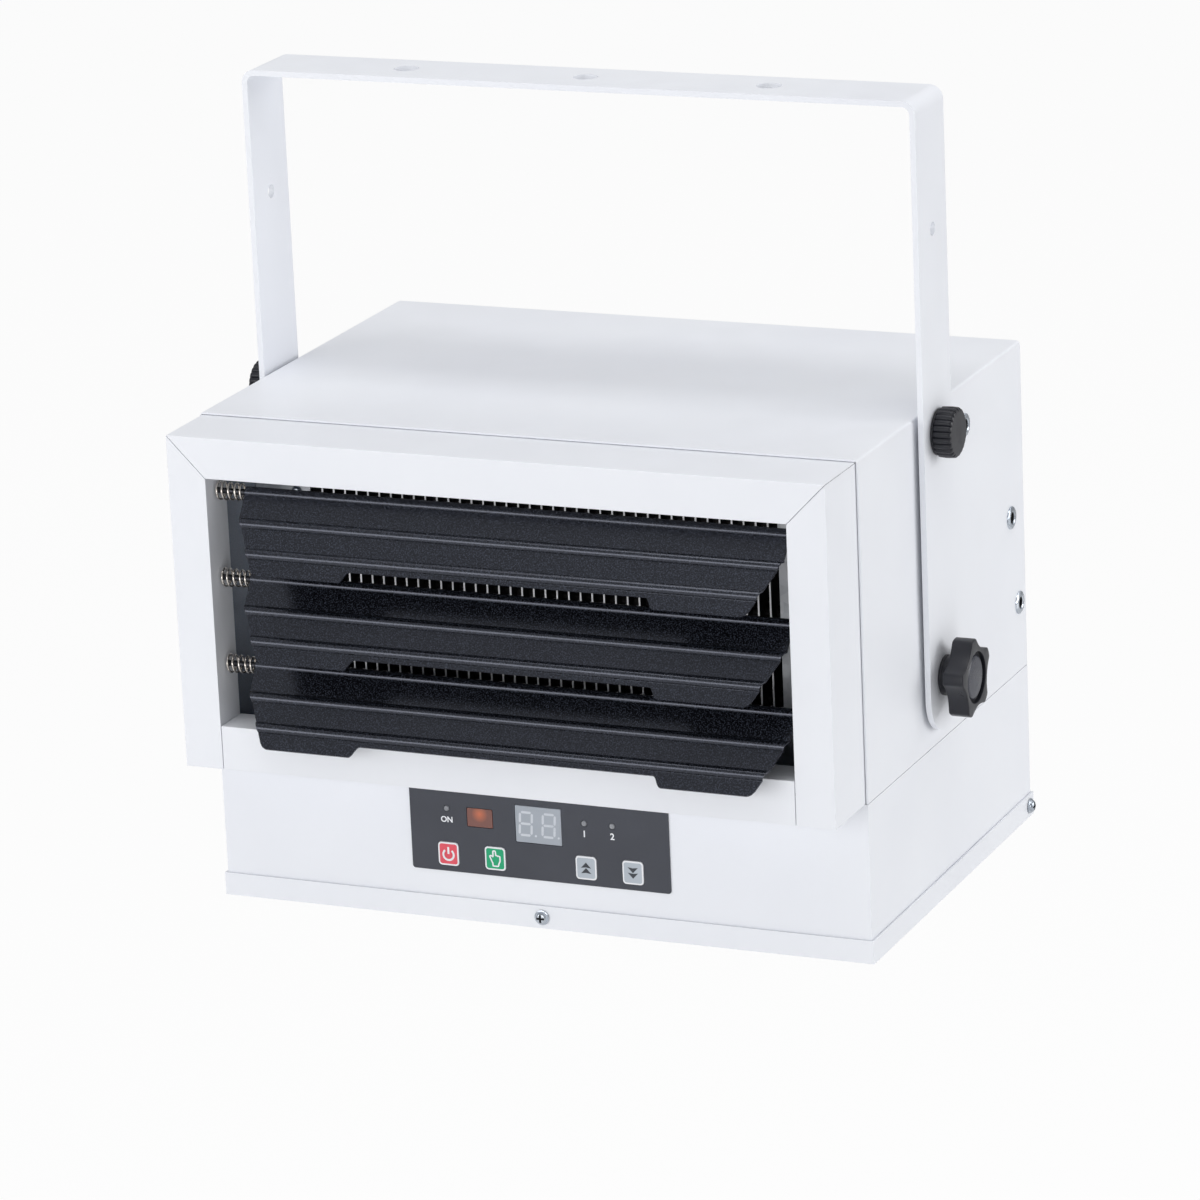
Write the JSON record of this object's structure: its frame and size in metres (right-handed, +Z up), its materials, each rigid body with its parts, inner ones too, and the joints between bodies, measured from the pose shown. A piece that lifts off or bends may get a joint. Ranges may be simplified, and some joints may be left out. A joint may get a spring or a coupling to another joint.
{
  "type": "ceiling fan heater",
  "caption": "Electric fan heater in a painted sheet-metal casing that tilts in a U-shaped ceiling bracket, with adjustable outlet louvres and a key panel.",
  "frame": {"origin": "middle of the ceiling bracket's top face, where it meets the ceiling", "axes": "+Z up into the ceiling, +X to the heater's right as seen from its front, the air outlet faces -Y"},
  "size_m": [0.4006, 0.3095, 0.4185],
  "materials": {
    "white_paint": "satin powder coat on steel sheet",
    "dark_paint": "fine-textured anthracite coat on steel sheet",
    "black_paint": "satin black coat on steel wire",
    "black_plastic": "moulded, matte",
    "zinc": "zinc plated",
    "steel": "bright steel",
    "panel_film": "printed film",
    "display": "gloss filter over two unlit digits",
    "red_window": "clear dark red",
    "lamp_lens": "diffuse lens",
    "red_plastic": "moulded, printed",
    "green_plastic": "moulded, printed",
    "grey_plastic": "moulded, printed",
    "board": "solder mask"
  },
  "bodies": {
    "bracket": {"ceiling_bracket": "white_paint"},
    "heater": {"right_pivot_washer": "zinc", "right_insert_1": "zinc", "right_insert_2": "zinc", "right_insert_3": "zinc", "right_insert_4": "zinc", "left_pivot_washer": "zinc", "left_insert_1": "zinc", "left_insert_2": "zinc", "left_insert_3": "zinc", "left_insert_4": "zinc", "upper_cover": "white_paint", "rear_panel": "white_paint", "frame_top_rail": "white_paint", "frame_left_stile": "white_paint", "frame_right_stile": "white_paint", "frame_bottom_rail": "white_paint", "lower_housing": "white_paint", "base_tray": "white_paint", "front_base_screw": "zinc", "right_base_screw": "zinc", "left_base_screw": "zinc", "louvre_rod_1": "steel", "louvre_spring_1": "steel", "finned_element_1": "steel", "louvre_rod_2": "steel", "louvre_spring_2": "steel", "finned_element_2": "steel", "louvre_rod_3": "steel", "louvre_spring_3": "steel", "finned_element_3": "steel", "element_frame": "zinc", "heat_chamber": "dark_paint", "thermal_cutout": "black_plastic", "fan_motor": "zinc", "motor_bracket": "zinc", "fan_guard": "black_paint", "cable_gland": "black_plastic", "terminal_block": "black_plastic", "power_relay": "grey_plastic", "control_overlay": "panel_film", "display_module": "display", "receiver_window": "red_window", "power_lamp": "lamp_lens", "low_heat_lamp": "lamp_lens", "high_heat_lamp": "lamp_lens", "control_board": "board"},
    "right_star": {"right_star_knob": "black_plastic"},
    "left_star": {"left_star_knob": "black_plastic"},
    "right_lock": {"right_lock_knob": "black_plastic"},
    "left_lock": {"left_lock_knob": "black_plastic"},
    "louvre_top": {"louvre_1": "dark_paint"},
    "louvre_middle": {"louvre_2": "dark_paint"},
    "louvre_bottom": {"louvre_3": "dark_paint"},
    "rotor": {"fan_rotor": "dark_paint"},
    "power_key": {"power_button": "red_plastic"},
    "mode_key": {"mode_button": "green_plastic"},
    "up_key": {"up_button": "grey_plastic"},
    "down_key": {"down_button": "grey_plastic"}
  },
  "joints": [
    {"name": "tilt", "type": "hinge", "parent": "bracket", "child": "heater", "pos_m": [0, 0, -0.2985], "axis": [1, 0, 0], "range_deg": [0, 90]},
    {"name": "right_star_turn", "type": "hinge", "parent": "heater", "child": "right_star", "pos_m": [0.183, 0, -0.2985], "axis": [1, 0, 0], "range_deg": [0, 180]},
    {"name": "left_star_turn", "type": "hinge", "parent": "heater", "child": "left_star", "pos_m": [-0.183, 0, -0.2985], "axis": [-1, 0, 0], "range_deg": [0, 180]},
    {"name": "right_lock_pull", "type": "slide", "parent": "bracket", "child": "right_lock", "axis": [1, 0, 0], "range_m": [0, 0.003]},
    {"name": "left_lock_pull", "type": "slide", "parent": "bracket", "child": "left_lock", "axis": [-1, 0, 0], "range_m": [0, 0.003]},
    {"name": "louvre_top_swing", "type": "hinge", "parent": "heater", "child": "louvre_top", "pos_m": [0.0075, -0.1265, -0.1915], "axis": [-1, 0, 0], "range_deg": [-29, 41]},
    {"name": "louvre_middle_swing", "type": "hinge", "parent": "heater", "child": "louvre_middle", "pos_m": [0.0075, -0.1265, -0.237], "axis": [-1, 0, 0], "range_deg": [-29, 41]},
    {"name": "louvre_bottom_swing", "type": "hinge", "parent": "heater", "child": "louvre_bottom", "pos_m": [0.0075, -0.1265, -0.2825], "axis": [-1, 0, 0], "range_deg": [-14, 41]},
    {"name": "fan_spin", "type": "hinge", "parent": "heater", "child": "rotor", "pos_m": [0, 0.0615, -0.24875], "axis": [0, 1, 0], "continuous": true},
    {"name": "power_press", "type": "slide", "parent": "heater", "child": "power_key", "axis": [0, 1, 0], "range_m": [0, 0.0006], "stiffness_N_per_m": 800},
    {"name": "mode_press", "type": "slide", "parent": "heater", "child": "mode_key", "axis": [0, 1, 0], "range_m": [0, 0.0006], "stiffness_N_per_m": 800},
    {"name": "up_press", "type": "slide", "parent": "heater", "child": "up_key", "axis": [0, 1, 0], "range_m": [0, 0.0006], "stiffness_N_per_m": 800},
    {"name": "down_press", "type": "slide", "parent": "heater", "child": "down_key", "axis": [0, 1, 0], "range_m": [0, 0.0006], "stiffness_N_per_m": 800}
  ]
}
